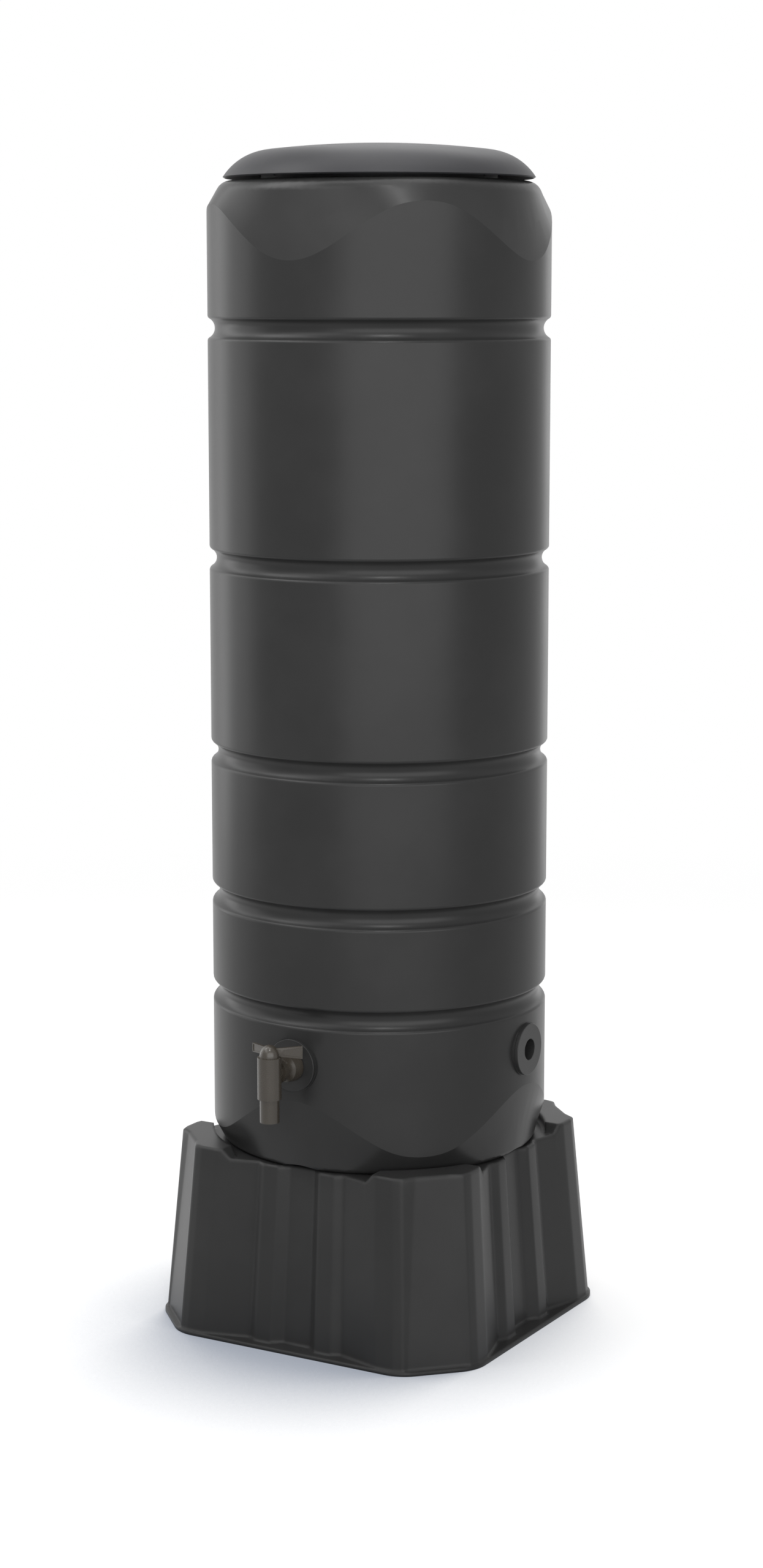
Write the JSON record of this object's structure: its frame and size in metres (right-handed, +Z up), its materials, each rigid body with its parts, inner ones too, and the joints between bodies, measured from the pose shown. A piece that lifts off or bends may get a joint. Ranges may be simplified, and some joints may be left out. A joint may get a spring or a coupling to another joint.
{
  "type": "rain barrel",
  "caption": "Tall cylindrical rainwater barrel with ring grooves and wave-cut shoulders, a lift-off domed lid, an outlet tap, an open side port and a fluted stand.",
  "frame": {"origin": "where the tank's upright axis meets the plane that the stand rests on", "axes": "+Z up along the tank's axis, the tap faces -Y and the open port faces +X"},
  "size_m": [0.414, 0.4581, 1.3255],
  "materials": {
    "tank_plastic": "satin dark grey moulded polyethylene",
    "stand_plastic": "satin dark grey moulded polyethylene",
    "lid_plastic": "satin dark grey moulded plastic",
    "fitting_plastic": "satin dark grey moulded plastic",
    "tap_plastic": "semi-gloss brown-grey moulded plastic",
    "seal_rubber": "black seal rubber"
  },
  "bodies": {
    "barrel": {"stand": "stand_plastic", "tank": "tank_plastic", "tap_port_flange": "fitting_plastic", "tap_port_gasket": "seal_rubber", "tap_port_nut": "fitting_plastic", "side_port_flange": "fitting_plastic", "side_port_gasket": "seal_rubber", "side_port_nut": "fitting_plastic", "tap_body": "tap_plastic", "tap_washer": "seal_rubber"},
    "lid": {"lid": "lid_plastic"},
    "tap_plug": {"tap_plug": "tap_plastic", "tap_upper_seal": "seal_rubber", "tap_lower_seal": "seal_rubber"}
  },
  "joints": [
    {"name": "lid_lift", "type": "slide", "parent": "barrel", "child": "lid", "axis": [0, 0, 1], "range_m": [0, 0.15]},
    {"name": "tap_turn", "type": "hinge", "parent": "barrel", "child": "tap_plug", "pos_m": [0, -0.238, 0.328], "axis": [0, 0, 1], "range_deg": [0, 90]}
  ]
}
